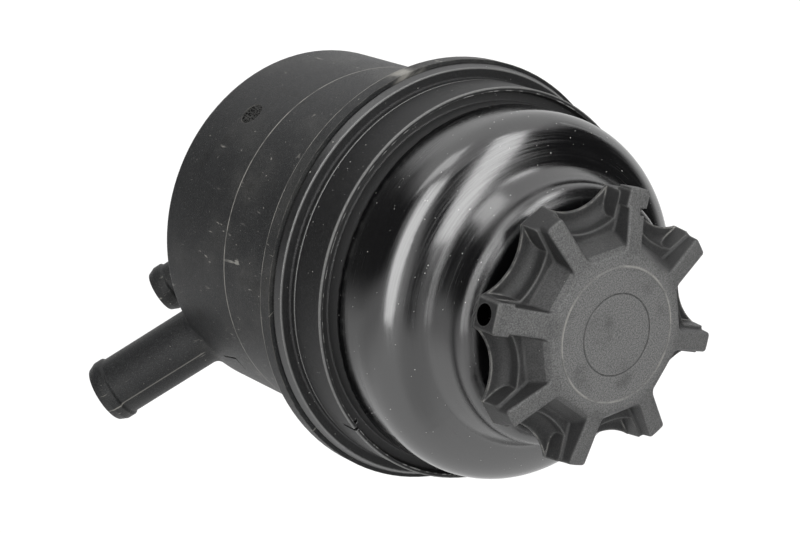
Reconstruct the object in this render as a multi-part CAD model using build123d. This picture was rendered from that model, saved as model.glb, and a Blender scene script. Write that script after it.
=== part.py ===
from build123d import *
from math import asin, cos, degrees, hypot, radians, sin, sqrt, tan
import os

# Power steering reservoir, in millimetres, +Z up towards the filler cap.
# The origin lies on the axis at the middle of the clamp band's seat, and +X is the way both spigots point.

# Lower housing
body_r = 46.3
housing_wall = 2.6
base_z = -18.0
base_corner_r = 1.8
floor_t = 2.6
flare_start_z = 30.7
flare_top_z = 41.7
rim_r = 53.5
rim_band_h = 3.9
weld_gap = 0.4
weld_face_w = 6.4
flash_groove_w = 1.7
flash_groove_d = 2.2
patch_r = 3.2
patch_depth = 0.2
patch_azimuth = 270.4
patch_z = -0.7
mark_line_w = 0.5
mark_depth = 0.6
mark_points = [(0.4, -6.8), (-2.0, 1.7), (2.1, 2.1)]

# Spigots, both sloping down from the level by the same angle
spigot_slope = 30.0
outlet_r = 8.1
outlet_bore_r = 6.0
outlet_base_x = 38.0
outlet_bead_at = 34.0
outlet_bore_in = 13.8
return_r = 6.05
return_bore_r = 4.25
return_axis_drop = 12.0
return_bead_at = 39.6
bead_rise = 0.6
bead_w = 2.1
nose_w = 2.1
nose_drop = 0.9
junction_r = 2.5
junction_reach = 25.0

# Return boss under the base and riser above the floor
boss_r = 9.5
boss_drop = 21.0
boss_corner_r = 2.5
riser_r = 6.5
riser_top_z = 2.0
rest_count = 4
rest_t = 2.0
rest_in_r = 11.6
rest_out_r = 25.0
rest_h = 5.4

# Upper shell
shell_wall = 2.6
flange_r = 52.6
flange_t = 2.2
flange_lean = 0.9
collar_r = 49.1
collar_top_z = 61.0
collar_lip_w = 1.0
collar_groove_d = 2.2
collar_groove_lean = 0.4
dome_r = 45.4
dome_foot_z = 71.5
dome_rise = 13.5
dome_crown_r = 18.5
dome_power = 2.5
riser_foot_r = 34.2
shoulder_r = 31.6
shoulder_corner_r = 4.0
shoulder_wall_h = 1.5
shoulder_z = 94.0
step_r = 28.75
step_h = 0.5
neck_r = 18.6
neck_wall = 2.5
slot_azimuth = 357.8
slot_w = 0.9
slot_h = 5.5
slot_depth = 2.6

# Filler thread, a coarse moulded ridge
thread_pitch = 3.0
thread_h = 0.8
thread_root_w = 1.6
thread_crest_w = 1.0
thread_sink = 0.3
neck_thread_turns = 1.1
cap_thread_turns = 1.0
cap_thread_inset = 1.0
thread_gap = 0.3

# Filler cap
cap_top_z = 110.0
cap_h = 11.5
cap_plate_t = 3.0
cap_lip_r = 27.9
cap_lip_t = 0.7
lobe_count = 8
lobe_azimuth = 35.9
lobe_tip_r = 32.6
lobe_tip_draft = 0.7
lobe_tip_corner_r = 0.9
lobe_top_w = 4.6
lobe_ledge_w = 5.2
lobe_low_w = 6.4
lobe_foot_w = 7.0
lobe_slope_start_r = 17.5
lobe_tip_drop = 3.2
crest_edge_r = 0.7
lobe_core_w = 2.6
lobe_core_wall = 2.2
hub_reach = 18.4
hub_bevel_reach = 19.8
hub_bevel_drop = 1.7
ledge_reach = 22.0
ledge_drop = 6.2
ledge_w = 0.9
pocket_foot_reach = 23.7
pocket_corner_r = 0.9
ledge_corner_r = 0.5
pocket_far_reach = 40.0
cove_r = 2.6
vent_lobe = -2
vent_lobe_extra_w = 1.6
box_w = 7.0
box_h = 7.2
box_top_drop = 3.1
box_out = 0.9
box_in = 3.6
box_step = 0.6
box_corner_r = 0.4
small_box_w = 5.4
small_box_h = 4.4
notch_r = 28.4
notch_w = 1.8
notch_d = 1.5
vent_r = 2.4
vent_drop = 7.3
cap_line_r = 16.0
cap_groove_r = 9.7
cap_line_w = 0.4
cap_line_h = 0.15
gate_r = 1.2

# Gasket, labyrinth insert and vent valve in the cap
gasket_t = 1.5
gasket_gap = 0.2
insert_gap = 1.2
insert_t = 1.6
insert_wall = 1.2
insert_h = 5.5
insert_slot_w = 2.5
valve_r = 4.6
valve_t = 0.8
valve_stem_r = 1.3
valve_head_r = 1.9
valve_at_x = 9.2
vent_pin_r = 0.8
vent_pin_at = 2.8
socket_wall = 1.2
socket_h = 6.0

# Dipstick
dipstick_neck_r = 2.3
dipstick_head_r = 4.0
dipstick_head_t = 1.2
dipstick_w = 7.0
dipstick_t = 2.2
dipstick_end_z = 50.0
dipstick_notch_z = [56.0, 66.0]
dipstick_notch_h = 1.2
dipstick_notch_d = 0.9

# Filter cartridge and its hold-down spring
filter_r = 26.0
filter_h = 48.0
filter_plate_t = 1.2
filter_rim_h = 4.0
filter_rim_t = 0.8
seal_land_w = 1.5
seal_lip_w = 2.0
seal_lip_t = 1.2
seal_gap = 0.3
core_r = 12.8
core_wall = 0.8
core_rows = 5
core_holes = 6
core_hole_r = 2.0
pleat_count = 36
pleat_out_r = 24.6
pleat_in_r = 13.6
pleat_t = 0.5
pilot_h = 3.0
spring_r = 25.0
wire_r = 0.85
spring_turns = 6.0
fit_gap = 0.1

# Levels and radii that follow from the sizes above
floor_z = base_z + floor_t
inner_r = body_r - housing_wall
rim_top_z = flare_top_z + rim_band_h
weld_z = rim_top_z + weld_gap
weld_out_r = inner_r + weld_face_w
neck_in_r = neck_r - neck_wall
cap_under_z = cap_top_z - cap_plate_t
neck_top_z = cap_under_z - gasket_t
skirt_z = cap_top_z - cap_h
ledge_z = cap_top_z - ledge_drop
lobe_end_r = lobe_tip_r + 0.1
cap_bore_r = neck_r + thread_gap
cap_root_r = neck_r + thread_h + thread_gap
cap_thread_z = skirt_z + cap_thread_inset
neck_thread_z = cap_thread_z + thread_pitch / 2
under_z = shoulder_z - shell_wall
filter_z = floor_z + rest_h
filter_top_z = filter_z + filter_h
pilot_r = spring_r - wire_r - seal_gap
insert_z = cap_under_z - insert_h
seal_hole_r = riser_r + seal_gap + seal_land_w
spigot_dir = Vector(cos(radians(spigot_slope)), 0, -sin(radians(spigot_slope)))
outlet_foot = Vector(outlet_base_x, 0, base_z)
return_foot = Vector(0, 0, base_z - return_axis_drop)


def turned(*corners):
    # A solid turned about the axis from corners of radius, height and corner rounding
    outline = FilletPolyline([(r, z) for r, z, _ in corners], radius=[c for _, _, c in corners], close=True)
    return revolve(Plane.XZ * make_face(outline.edges()), axis=Axis.Z)


def tube(out_r, in_r, low, high):
    return turned((in_r, low, 0), (out_r, low, 0), (out_r, high, 0), (in_r, high, 0))


def rod(start, along, radius, length):
    upright = Cylinder(radius, length, align=(Align.CENTER, Align.CENTER, Align.MIN))
    return Plane(origin=start, z_dir=along) * upright


def radial(azimuth, shape):
    return Rot(0, 0, azimuth) * shape


# Spigots


def spigot(foot, radius, bead_at):
    # The outside of a hose spigot with its bead and chamfered nose, solid and without its bore
    bead_r = radius + bead_rise
    end = bead_at + bead_w + nose_w
    outline = FilletPolyline(
        [
            (0, 0),
            (radius, 0),
            (radius, bead_at - bead_rise),
            (bead_r, bead_at),
            (bead_r, bead_at + bead_w),
            (bead_r - nose_drop, end),
            (0, end),
        ],
        radius=[0, 0, 0.3, 0.3, 0.6, 0.5, 0],
        close=True,
    )
    shape = revolve(Plane.XZ * make_face(outline.edges()), axis=Axis.Z)
    return Plane(origin=foot, z_dir=spigot_dir, x_dir=(0, 1, 0)) * shape


def spigot_length(bead_at):
    return bead_at + bead_w + nose_w


# Lower housing


def housing_outside():
    rise = flare_top_z - flare_start_z
    reach = rim_r - body_r
    flare_radius = (reach**2 + rise**2) / (2 * reach)
    turn = asin(rise / flare_radius) / 2
    middle = (body_r + flare_radius * (1 - cos(turn)), flare_start_z + flare_radius * sin(turn))
    start = (body_r, flare_start_z)
    end = (rim_r, flare_top_z)
    walls = FilletPolyline((0, base_z), (body_r, base_z), start, radius=[base_corner_r])
    flare = ThreePointArc(start, middle, end)
    band = Polyline(end, (rim_r, rim_top_z), (weld_out_r, rim_top_z))
    face = Polyline((weld_out_r, rim_top_z), (weld_out_r, weld_z), (0, weld_z), (0, base_z))
    outline = walls.edges() + flare.edges() + band.edges() + face.edges()
    return revolve(Plane.XZ * make_face(outline), axis=Axis.Z)


def return_boss():
    low = base_z - boss_drop
    return turned((0, low, 0), (boss_r, low, boss_corner_r), (boss_r, floor_z, 0), (0, floor_z, 0))


def filter_rests():
    length = rest_out_r - rest_in_r
    rest = Pos(rest_in_r + length / 2, 0, filter_z - rest_h / 2) * Box(length, rest_t, rest_h)
    return [radial(45 + 360 / rest_count * i, rest) for i in range(rest_count)]


def orientation_mark():
    # Two engraved strokes on the wall above the outlet
    strokes = []
    for (y0, z0), (y1, z1) in zip(mark_points, mark_points[1:]):
        middle = Vector(body_r - mark_depth / 2, (y0 + y1) / 2, (z0 + z1) / 2)
        along = Vector(0, y1 - y0, z1 - z0)
        stroke = Box(along.length + mark_line_w, mark_line_w, 3 * mark_depth)
        strokes.append(Plane(origin=middle, x_dir=along, z_dir=(1, 0, 0)) * stroke)
    return strokes


def junction_edges(shape, foot, radius):
    # The edges near a spigot's foot where its side runs into the housing
    found = []
    for edge in shape.edges():
        along = []
        off = []
        for t in (0.13, 0.37, 0.61, 0.88):
            way = edge @ t - foot
            along.append(way.dot(spigot_dir))
            off.append(abs((way - spigot_dir * along[-1]).length - radius))
        if max(off) < 0.01 and max(along) < junction_reach and max(along) - min(along) > 0.01:
            found.append(edge)
    return found


def orientation_patch():
    # The shallow round field that the moulding's textured stamp stands in
    disc = rod((body_r - patch_depth, 0, patch_z), (1, 0, 0), patch_r, patch_r)
    return radial(patch_azimuth, disc)


def lower_housing():
    shape = housing_outside() + return_boss()
    shape += spigot(outlet_foot, outlet_r, outlet_bead_at)
    shape += spigot(return_foot, return_r, return_bead_at)
    for foot, radius in ((outlet_foot, outlet_r), (return_foot, return_r)):
        shape = fillet(junction_edges(shape, foot, radius), junction_r)
    shape -= tube(inner_r, 0, floor_z, weld_z)
    groove_z = rim_top_z - flash_groove_d
    shape -= tube(weld_out_r + flash_groove_w, weld_out_r, groove_z, rim_top_z)
    shape += tube(riser_r, 0, floor_z - floor_t, riser_top_z)
    shape += filter_rests()
    length = outlet_bore_in + spigot_length(outlet_bead_at)
    shape -= rod(outlet_foot - spigot_dir * outlet_bore_in, spigot_dir, outlet_bore_r, length)
    shape -= rod(return_foot, spigot_dir, return_bore_r, spigot_length(return_bead_at))
    shape -= Pos(*return_foot) * Sphere(return_bore_r)
    shape -= rod(return_foot, (0, 0, 1), return_bore_r, riser_top_z - return_foot.Z)
    shape -= orientation_patch()
    shape -= orientation_mark()
    return shape


# Upper shell


def dome_point(turn, inset):
    # A point of the dome's section, from its foot at turn 0 to its crown at turn 90, moved in by the wall
    a = dome_r - dome_crown_r
    power = 2 / dome_power
    c, s = cos(radians(turn)), sin(radians(turn))
    r = dome_crown_r + a * c**power
    z = dome_foot_z + dome_rise * s**power
    lean_r = (c**power) ** (dome_power - 1) / a
    lean_z = (s**power) ** (dome_power - 1) / dome_rise
    size = sqrt(lean_r**2 + lean_z**2)
    return r - inset * lean_r / size, z - inset * lean_z / size


def dome_curve(inset, end_r):
    # The dome's section from its foot up to the given radius
    turns = [0, 8, 18, 30, 42, 54, 64, 72]
    points = [dome_point(turn, inset) for turn in turns]
    kept = [p for p in points if p[0] > end_r + 1.5]
    low, high = 0.0, 90.0
    for _ in range(40):
        middle = (low + high) / 2
        if dome_point(middle, inset)[0] > end_r:
            low = middle
        else:
            high = middle
    return Spline(*kept, dome_point(low, inset), tangents=[(0, 1), end_lean(low)], tangent_scalars=[1, 1])


def end_lean(turn):
    before, after = dome_point(turn - 0.5, 0), dome_point(turn + 0.5, 0)
    return Vector(after[0] - before[0], after[1] - before[1]).normalized()


def upper_shell_section():
    groove_z = collar_top_z - collar_groove_d
    lip_r = collar_r - collar_lip_w
    flange_top = weld_z + flange_t
    inner_foot_r = dome_r - shell_wall
    outer_dome = dome_curve(0, riser_foot_r)
    inner_dome = dome_curve(shell_wall, riser_foot_r - shell_wall)
    outer_end, inner_end = outer_dome @ 1, inner_dome @ 1
    shoulder_foot_z = shoulder_z - shoulder_corner_r - shoulder_wall_h
    skirt = FilletPolyline(
        (inner_foot_r, dome_foot_z),
        (inner_foot_r, weld_z),
        (flange_r, weld_z),
        (flange_r - flange_lean, flange_top),
        (collar_r, flange_top),
        (collar_r, collar_top_z),
        (lip_r, collar_top_z),
        (lip_r - collar_groove_lean, groove_z),
        (dome_r, groove_z),
        (dome_r, dome_foot_z),
        radius=[0, 0.2, 0.4, 0.5, 0.3, 0.2, 0.3, 0.3],
    )
    neck = FilletPolyline(
        (outer_end.X, outer_end.Y),
        (shoulder_r, shoulder_foot_z),
        (shoulder_r, shoulder_z - step_h),
        (step_r, shoulder_z - step_h),
        (step_r, shoulder_z),
        (neck_r, shoulder_z),
        (neck_r, neck_top_z),
        (neck_in_r, neck_top_z),
        (neck_in_r, under_z),
        (shoulder_r - shell_wall, under_z),
        (shoulder_r - shell_wall, shoulder_foot_z),
        (inner_end.X, inner_end.Y),
        radius=[3.5, 2.6, 0.1, 0.2, 0.6, 0.4, 0.4, 0.4, 1.4, 3.0],
    )
    return make_face(skirt.edges() + outer_dome.edges() + neck.edges() + inner_dome.edges())


def thread_ridge(radius, turns, start_z, outward):
    # A trapezoid ridge wound on a cylinder, its foot sunk a little into the wall
    way = 1 if outward else -1
    path = Helix(thread_pitch, thread_pitch * turns, radius, center=(0, 0, start_z))
    foot = -way * thread_sink
    crest = way * thread_h
    section = Plane.XZ * make_face(
        Polyline(
            (radius + foot, start_z - thread_root_w / 2),
            (radius + crest, start_z - thread_crest_w / 2),
            (radius + crest, start_z + thread_crest_w / 2),
            (radius + foot, start_z + thread_root_w / 2),
            close=True,
        ).edges()
    )
    return sweep(section, path=path, is_frenet=True)


def collar_slot():
    # A narrow slot through the collar's top corner
    shape = Pos(collar_r - slot_depth, 0, collar_top_z - slot_h) * Box(
        slot_depth + 2, slot_w, slot_h + 2, align=(Align.MIN, Align.CENTER, Align.MIN)
    )
    return radial(slot_azimuth, shape)


def upper_shell():
    shape = revolve(Plane.XZ * upper_shell_section(), axis=Axis.Z)
    shape -= collar_slot()
    shape += thread_ridge(neck_r, neck_thread_turns, neck_thread_z, True)
    return shape


# Filler cap


def scallop_radius():
    # Radius of the hollow arc from one lobe's foot to the next one's, touching the lip's radius midway
    lean = radians(180 / lobe_count)
    x = lobe_tip_r * cos(lean) + lobe_foot_w / 2 * sin(lean)
    y = lobe_tip_r * sin(lean) - lobe_foot_w / 2 * cos(lean)
    return (x - cap_lip_r) / 2 + y**2 / (2 * (x - cap_lip_r))


def cap_star():
    # The cap before its pockets are cut: lobes joined by hollow arcs, under a top that slopes to their tips
    pitch = 360 / lobe_count
    edges = []
    for i in range(lobe_count):
        start = Vector(lobe_tip_r, lobe_foot_w / 2).rotate(Axis.Z, pitch * i)
        middle = Vector(cap_lip_r, 0).rotate(Axis.Z, pitch * (i + 0.5))
        end = Vector(lobe_tip_r, -lobe_foot_w / 2).rotate(Axis.Z, pitch * (i + 1))
        after = Vector(lobe_tip_r, lobe_foot_w / 2).rotate(Axis.Z, pitch * (i + 1))
        edges += [ThreePointArc(start, middle, end), Line(end, after)]
    star = extrude(Plane.XY.offset(skirt_z) * make_face(edges), amount=cap_h)
    return star & turned(
        (0, skirt_z, 0),
        (lobe_end_r, skirt_z, 0),
        (lobe_end_r, skirt_z + cap_lip_t, 0),
        (lobe_end_r - lobe_tip_draft, cap_top_z - lobe_tip_drop, 0),
        (lobe_slope_start_r, cap_top_z, 0),
        (0, cap_top_z, 0),
    )


def pocket_plan(z, reach, lobe_w, extra=(0, 0)):
    # The gap between two lobes at a height, about +X: straight towards the hub and along each lobe
    lean = radians(180 / lobe_count)
    right_w, left_w = lobe_w + extra[0], lobe_w + extra[1]

    def side(x, w):
        return (x - w / 2 * sin(lean)) * tan(lean) - w / 2 * cos(lean)

    outline = Polyline(
        (reach, side(reach, left_w)),
        (reach, -side(reach, right_w)),
        (pocket_far_reach, -side(pocket_far_reach, right_w)),
        (pocket_far_reach, side(pocket_far_reach, left_w)),
        close=True,
    )
    return (Plane.XY.offset(z) * make_face(outline.edges())).face()


def is_pocket_corner(edge):
    return abs((edge % 0.5).Z) > 0.4 and edge.center().X < pocket_far_reach - 8


def upper_pocket(extra):
    # The gap above the ledge, with the hub's bevelled shoulder
    over = 1.0
    over_reach = hub_reach - (hub_bevel_reach - hub_reach) / hub_bevel_drop * over
    plans = [
        pocket_plan(ledge_z, ledge_reach, lobe_ledge_w, extra),
        pocket_plan(cap_top_z - hub_bevel_drop, hub_bevel_reach, lobe_top_w, extra),
        pocket_plan(cap_top_z + over, over_reach, lobe_top_w, extra),
    ]
    shape = loft(plans, ruled=True)
    shape = fillet(shape.edges().filter_by(is_pocket_corner), pocket_corner_r)
    low = shape.edges().filter_by(lambda edge: edge.bounding_box().max.Z < ledge_z + 0.01)
    return fillet(low.filter_by(lambda edge: edge.center().X < pocket_far_reach - 4), ledge_corner_r)


def lower_pocket(extra):
    # The narrower gap below the ledge, ending in a cove that follows the scalloped lip
    over = 0.6
    plans = [
        pocket_plan(skirt_z - over, pocket_foot_reach, lobe_foot_w, extra),
        pocket_plan(ledge_z + over, ledge_reach + ledge_w, lobe_low_w, extra),
    ]
    shape = loft(plans)
    shape = fillet(shape.edges().filter_by(is_pocket_corner), pocket_corner_r)
    middle_x = cap_lip_r + scallop_radius()
    wall_at = middle_x - pocket_foot_reach
    lip_z = skirt_z + cap_lip_t
    bend = cove_r * (1 - cos(radians(45)))
    start, end = (wall_at, lip_z + cove_r), (wall_at - cove_r, lip_z)
    top_z = ledge_z + 2 * over
    outline = Polyline(end, (0, lip_z), (0, top_z), (wall_at, top_z), start).edges()
    outline += ThreePointArc(start, (wall_at - bend, lip_z + bend), end).edges()
    return shape & Pos(middle_x, 0, 0) * revolve(Plane.XZ * make_face(outline), axis=Axis.Z)


def is_tip_corner(edge):
    # An upright corner of a lobe's end above the ledge, apart from the lobe that gets the vent's box
    middle = edge.center()
    upright = abs((edge % 0.5).Z) > 0.6 and middle.Z > ledge_z + 0.2
    at_end = hypot(middle.X, middle.Y) > lobe_tip_r - 1.6
    box_at = Vector(lobe_tip_r, 0, middle.Z).rotate(Axis.Z, 360 / lobe_count * vent_lobe)
    return upright and at_end and (middle - box_at).length > lobe_foot_w


def is_crest(edge):
    # An edge of the top, flat hub and sloping lobes alike, outside the circle where the slope starts
    fall = lobe_tip_drop / (lobe_end_r - lobe_tip_draft - lobe_slope_start_r)
    for t in (0.1, 0.5, 0.9):
        point = edge @ t
        out = hypot(point.X, point.Y) - lobe_slope_start_r
        if out < 0.3 or abs(point.Z - cap_top_z + fall * out) > 0.02:
            return False
    return True


def lobe_core():
    # The pocket that cores a lobe from below
    start_r = cap_root_r + lobe_core_wall
    end_r = lobe_tip_r - lobe_core_wall
    depth = cap_h - lobe_tip_drop - lobe_core_wall
    length = end_r - start_r
    middle = Pos((start_r + end_r) / 2, 0)
    low = Plane.XY.offset(skirt_z) * middle * Rectangle(length, lobe_core_w)
    high = Plane.XY.offset(skirt_z + depth) * middle * Rectangle(length - 0.8, lobe_core_w - 0.6)
    return loft([low.face(), high.face()])


def box_end(width, height):
    # The square end of a lobe that carries a vent, with its stepped edge
    back_r = lobe_tip_r - box_in
    front_r = lobe_tip_r + box_out
    top_z = cap_top_z - box_top_drop
    length = front_r - back_r
    anchor = (Align.MIN, Align.CENTER, Align.MAX)
    box = Pos(back_r, 0, top_z) * Box(length, width, height, align=anchor)
    step = Box(length - box_step, width + box_step, height + box_step, align=anchor)
    box += Pos(back_r, 0, top_z + box_step / 2) * step
    return fillet(box.edges().filter_by(Axis.X), box_corner_r)


def fine_ring(radius, low, high):
    return tube(radius + cap_line_w / 2, radius - cap_line_w / 2, low, high)


def cap_body():
    pitch = 360 / lobe_count
    cutters = []
    for i in range(lobe_count):
        before = vent_lobe_extra_w if i == vent_lobe % lobe_count else 0
        after = vent_lobe_extra_w if i + 1 == vent_lobe % lobe_count else 0
        for pocket in (upper_pocket, lower_pocket):
            cutters.append(radial(pitch * (i + 0.5), pocket((before, after))))
    shape = cap_star() - cutters
    shape = fillet(shape.edges().filter_by(is_tip_corner), lobe_tip_corner_r)
    shape = fillet(shape.edges().filter_by(is_crest), crest_edge_r)
    small_box_lobe = vent_lobe - 2
    shape += radial(pitch * vent_lobe, box_end(box_w, box_h))
    shape += radial(pitch * small_box_lobe, box_end(small_box_w, small_box_h))
    notch = Box(notch_w, lobe_foot_w - notch_d, 2 * lobe_tip_drop + notch_d)
    shape -= radial(pitch * small_box_lobe, Pos(notch_r, -lobe_foot_w / 2, cap_top_z) * notch)
    shape += fine_ring(cap_line_r, cap_top_z, cap_top_z + cap_line_h)
    shape -= fine_ring(cap_groove_r, cap_top_z - cap_line_h, cap_top_z)
    shape += Pos(0, 0, cap_top_z) * Cylinder(gate_r, 2 * cap_line_h)
    shape -= tube(cap_bore_r, 0, skirt_z, cap_under_z)
    shape -= tube(cap_root_r, 0, skirt_z, neck_top_z)
    shape -= [radial(pitch * i, lobe_core()) for i in range(lobe_count)]
    hole = rod((cap_bore_r, 0, cap_top_z - vent_drop), (1, 0, 0), vent_r, lobe_tip_r + 2 - cap_bore_r)
    shape -= radial(pitch * vent_lobe, hole)
    shape = radial(lobe_azimuth, shape)
    return shape + thread_ridge(cap_root_r, cap_thread_turns, cap_thread_z, False)


def cap_gasket():
    return tube(cap_bore_r - gasket_gap, neck_in_r, neck_top_z, cap_under_z)


def cap_insert():
    # The cup under the cap's plate that holds the dipstick's neck and leads the vent round a corner
    out_r = neck_in_r - insert_gap
    bore_r = dipstick_neck_r + seal_gap
    socket_z = insert_z - socket_h
    shape = tube(out_r, out_r - insert_wall, insert_z, cap_under_z)
    shape += tube(out_r, bore_r, insert_z, insert_z + insert_t)
    shape += tube(bore_r + socket_wall, bore_r, socket_z, insert_z)
    slot = Pos(-out_r, 0, cap_under_z) * Box(4 * insert_wall, insert_slot_w, 4)
    stem = Pos(valve_at_x, 0, insert_z) * Cylinder(valve_stem_r + fit_gap, 4 * insert_t)
    pin = Pos(valve_at_x, 0, insert_z) * Cylinder(vent_pin_r, 4 * insert_t)
    pins = [Pos(0, side * vent_pin_at, 0) * pin for side in (-1, 1)]
    return shape - slot - stem - pins


def vent_valve():
    # A rubber umbrella valve pulled through the insert's plate
    low = insert_z - valve_t
    high = insert_z + insert_t
    shape = turned(
        (0, low, 0),
        (valve_r, low + 0.3, 0),
        (valve_r, insert_z, 0),
        (valve_stem_r, insert_z, 0),
        (valve_stem_r, high, 0),
        (valve_head_r, high, 0),
        (valve_stem_r - 0.3, high + 1.4, 0),
        (0, high + 1.4, 0),
    )
    return Pos(valve_at_x, 0, 0) * shape


def dipstick():
    # A flat blade with edge notches at the two levels, hung by its head in the insert
    head_z = insert_z + insert_t
    blade_top_z = insert_z - socket_h - seal_gap
    shape = tube(dipstick_head_r, 0, head_z, head_z + dipstick_head_t)
    shape += tube(dipstick_neck_r, 0, blade_top_z - 1, head_z)
    blade_h = blade_top_z - dipstick_end_z
    blade = Pos(0, 0, dipstick_end_z) * Box(
        dipstick_t, dipstick_w, blade_h, align=(Align.CENTER, Align.CENTER, Align.MIN)
    )
    shape += fillet(blade.edges().filter_by(Axis.X), 1.2)
    for z in dipstick_notch_z:
        for side in (-1, 1):
            notch = Box(dipstick_t, 2 * dipstick_notch_d, dipstick_notch_h)
            shape -= Pos(0, side * dipstick_w / 2, z) * notch
    return shape


# Filter cartridge


def filter_seal():
    # A rubber grommet in the lower cap's hole, sliding on the riser
    in_r = riser_r + seal_gap
    land_r = seal_hole_r - fit_gap
    lip_r = seal_hole_r + seal_lip_w
    top = filter_z + filter_plate_t
    return turned(
        (in_r, filter_z - seal_lip_t, 0.3),
        (lip_r, filter_z - seal_lip_t, 0.5),
        (lip_r, filter_z, 0),
        (land_r, filter_z, 0),
        (land_r, top, 0),
        (lip_r, top, 0),
        (lip_r, top + seal_lip_t, 0.5),
        (in_r, top + seal_lip_t, 0.3),
    )


def filter_lower_cap():
    top = filter_z + filter_plate_t
    rim_z = filter_z + filter_rim_h
    rim_in_r = filter_r - filter_rim_t
    return turned(
        (seal_hole_r, filter_z, 0),
        (filter_r, filter_z, 1.0),
        (filter_r, rim_z, 0),
        (rim_in_r, rim_z, 0),
        (rim_in_r, top, 0),
        (seal_hole_r, top, 0),
    )


def filter_upper_cap():
    under = filter_top_z - filter_plate_t
    rim_z = filter_top_z - filter_rim_h
    rim_in_r = filter_r - filter_rim_t
    pilot_z = filter_top_z + pilot_h
    pilot_in_r = pilot_r - filter_plate_t
    return turned(
        (0, under, 0),
        (rim_in_r, under, 0),
        (rim_in_r, rim_z, 0),
        (filter_r, rim_z, 0),
        (filter_r, filter_top_z, 0.8),
        (pilot_r, filter_top_z, 0),
        (pilot_r, pilot_z, 0.5),
        (pilot_in_r, pilot_z, 0.5),
        (pilot_in_r, filter_top_z, 0.6),
        (0, filter_top_z, 0),
    )


def filter_core():
    # The perforated inner tube of the cartridge
    low, high = filter_z + filter_plate_t, filter_top_z - filter_plate_t
    shape = tube(core_r, core_r - core_wall, low, high)
    row_pitch = (high - low) / core_rows
    for row in range(core_rows):
        for i in range(core_holes):
            turn = 360 / core_holes * (i + row / 2)
            middle = (0, 0, low + row_pitch * (row + 0.5))
            shape -= radial(turn, rod(middle, (1, 0, 0), core_hole_r, core_r + 1))
    return shape


def pleat_outline(inset):
    # The pleats' outline, moved inwards by the given amount
    quarter = 90 / pleat_count
    out_r, in_r = pleat_out_r - inset, pleat_in_r - inset
    corners = []
    for i in range(pleat_count):
        middle = 360 / pleat_count * i
        for r, side in ((in_r, -1), (out_r, -1), (out_r, 1), (in_r, 1)):
            turn = middle + side * (quarter - degrees(inset / r))
            corners.append((r * cos(radians(turn)), r * sin(radians(turn))))
    return make_face(Polyline(corners, close=True).edges())


def filter_mesh():
    low, high = filter_z + filter_plate_t, filter_top_z - filter_plate_t
    section = pleat_outline(0) - pleat_outline(pleat_t)
    return extrude(Plane.XY.offset(low) * section, amount=high - low)


def hold_down_spring():
    # A coil spring with its ends ground flat on the filter's top and under the shell's shoulder
    length = under_z - filter_top_z
    path = Helix(length / spring_turns, length, spring_r, center=(0, 0, filter_top_z))
    wire = sweep(Plane(origin=path @ 0, z_dir=path % 0) * Circle(wire_r), path=path, is_frenet=True)
    return wire & tube(spring_r + 2 * wire_r, spring_r - 2 * wire_r, filter_top_z, under_z)


parts = {
    "lower_housing": lower_housing(),
    "upper_shell": upper_shell(),
    "cap_body": cap_body(),
    "cap_gasket": cap_gasket(),
    "cap_insert": cap_insert(),
    "vent_valve": vent_valve(),
    "dipstick": dipstick(),
    "filter_seal": filter_seal(),
    "filter_lower_cap": filter_lower_cap(),
    "filter_core": filter_core(),
    "filter_mesh": filter_mesh(),
    "filter_upper_cap": filter_upper_cap(),
    "hold_down_spring": hold_down_spring(),
}

os.makedirs("parts", exist_ok=True)
for name, shape in parts.items():
    export_step(shape, f"parts/{name}.step")
    print(name, len(shape.solids()), round(shape.volume), shape.bounding_box().size)
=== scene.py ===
from math import pi, radians, tan

import bmesh
import bpy
from mathutils import Matrix, Vector


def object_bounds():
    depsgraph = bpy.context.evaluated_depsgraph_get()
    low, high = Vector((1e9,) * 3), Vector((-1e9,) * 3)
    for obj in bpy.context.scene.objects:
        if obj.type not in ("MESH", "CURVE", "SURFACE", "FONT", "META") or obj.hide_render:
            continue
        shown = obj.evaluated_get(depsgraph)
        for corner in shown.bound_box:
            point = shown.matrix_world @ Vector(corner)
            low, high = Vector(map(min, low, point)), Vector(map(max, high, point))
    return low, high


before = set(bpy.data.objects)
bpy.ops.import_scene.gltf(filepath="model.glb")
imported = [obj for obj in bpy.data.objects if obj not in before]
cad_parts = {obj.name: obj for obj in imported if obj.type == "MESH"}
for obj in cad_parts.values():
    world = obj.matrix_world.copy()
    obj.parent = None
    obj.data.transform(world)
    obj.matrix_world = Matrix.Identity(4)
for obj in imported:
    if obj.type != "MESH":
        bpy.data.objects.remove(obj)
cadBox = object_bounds()
mm = 0.001  # sizes are so many times mm, and a pattern's scale is so many grains or cells over mm
eased = {"interpolation_type": "SMOOTHSTEP"}  # for every Map Range node
sampled = {"samples": 4}  # for every Bevel node
lineCore = 0.4  # share of a fine line's reach that is full
speckCore = 0.6  # share of a dust speck that is full
print("frame loaded")


def hexColour(code):
    # sRGB hex to the linear values that the shader takes
    parts = [int(code[i:i + 2], 16) / 255 for i in (1, 3, 5)]
    return [p / 12.92 if p <= 0.04045 else ((p + 0.055) / 1.055) ** 2.4 for p in parts] + [1.0]


def feed(tree, node, inputs):
    # fills inputs, by name or in the order that the editor shows, with plain values or sockets
    shown = [socket for socket in node.inputs if socket.enabled]
    for key, value in inputs.items() if isinstance(inputs, dict) else enumerate(inputs):
        socket = shown[key] if isinstance(key, int) else node.inputs[key]
        if isinstance(value, bpy.types.NodeSocket):
            tree.links.new(value, socket)
        else:
            socket.default_value = value


def addNode(tree, kind, inputs=(), **settings):
    # a node with its settings and inputs, known from here on by the first output that it shows
    node = tree.nodes.new("ShaderNode" + kind)
    for name, value in settings.items():
        setattr(node, name, value)
    feed(tree, node, inputs)
    return next((socket for socket in node.outputs if socket.enabled), None)


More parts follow.
